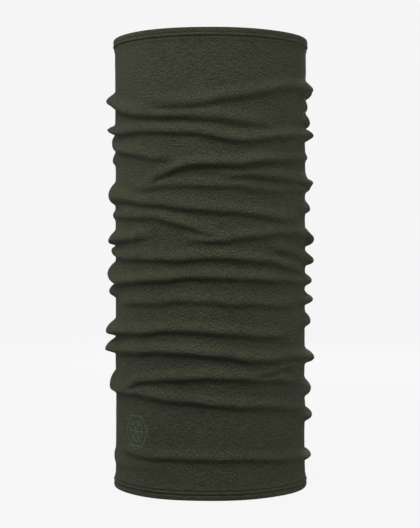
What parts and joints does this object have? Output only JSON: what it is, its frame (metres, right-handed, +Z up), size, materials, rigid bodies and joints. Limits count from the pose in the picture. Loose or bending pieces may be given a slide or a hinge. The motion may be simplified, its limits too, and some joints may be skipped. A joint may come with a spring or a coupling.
{
  "type": "neck gaiter",
  "caption": "Tubular knitted neck gaiter gathered into soft horizontal rolls between turned, stitched hems, with a small tone-on-tone printed emblem and a sewn-in care label.",
  "frame": {"origin": "on the tube's axis, in the plane of the bottom rim", "axes": "+Z up along the tube's axis towards the top rim, -Y to the front, where the emblem shows on the -X side"},
  "size_m": [0.1682, 0.1682, 0.36],
  "materials": {
    "knit_cloth": "matte heathered fine wool jersey, dark olive green",
    "sewing_thread": "soft twisted polyester thread, matched dark olive",
    "print_film": "thin matte transfer print, slightly greener than the cloth",
    "label_satin": "woven satin ribbon, off-white, blank"
  },
  "bodies": {
    "tube": {"tube_cloth": "knit_cloth", "top_hem_turning": "knit_cloth", "bottom_hem_turning": "knit_cloth", "top_hem_edge_needle_thread": "sewing_thread", "top_hem_body_needle_thread": "sewing_thread", "top_hem_looper_thread": "sewing_thread", "bottom_hem_edge_needle_thread": "sewing_thread", "bottom_hem_body_needle_thread": "sewing_thread", "bottom_hem_looper_thread": "sewing_thread", "emblem_border": "print_film", "emblem_crystal": "print_film", "care_label_root": "label_satin"},
    "label_flap": {"care_label_flap": "label_satin"}
  },
  "joints": [
    {"name": "label_flip", "type": "hinge", "parent": "tube", "child": "label_flap", "pos_m": [0, 0.07515, 0.347], "axis": [-1, 0, 0], "range_deg": [0, 100]}
  ]
}
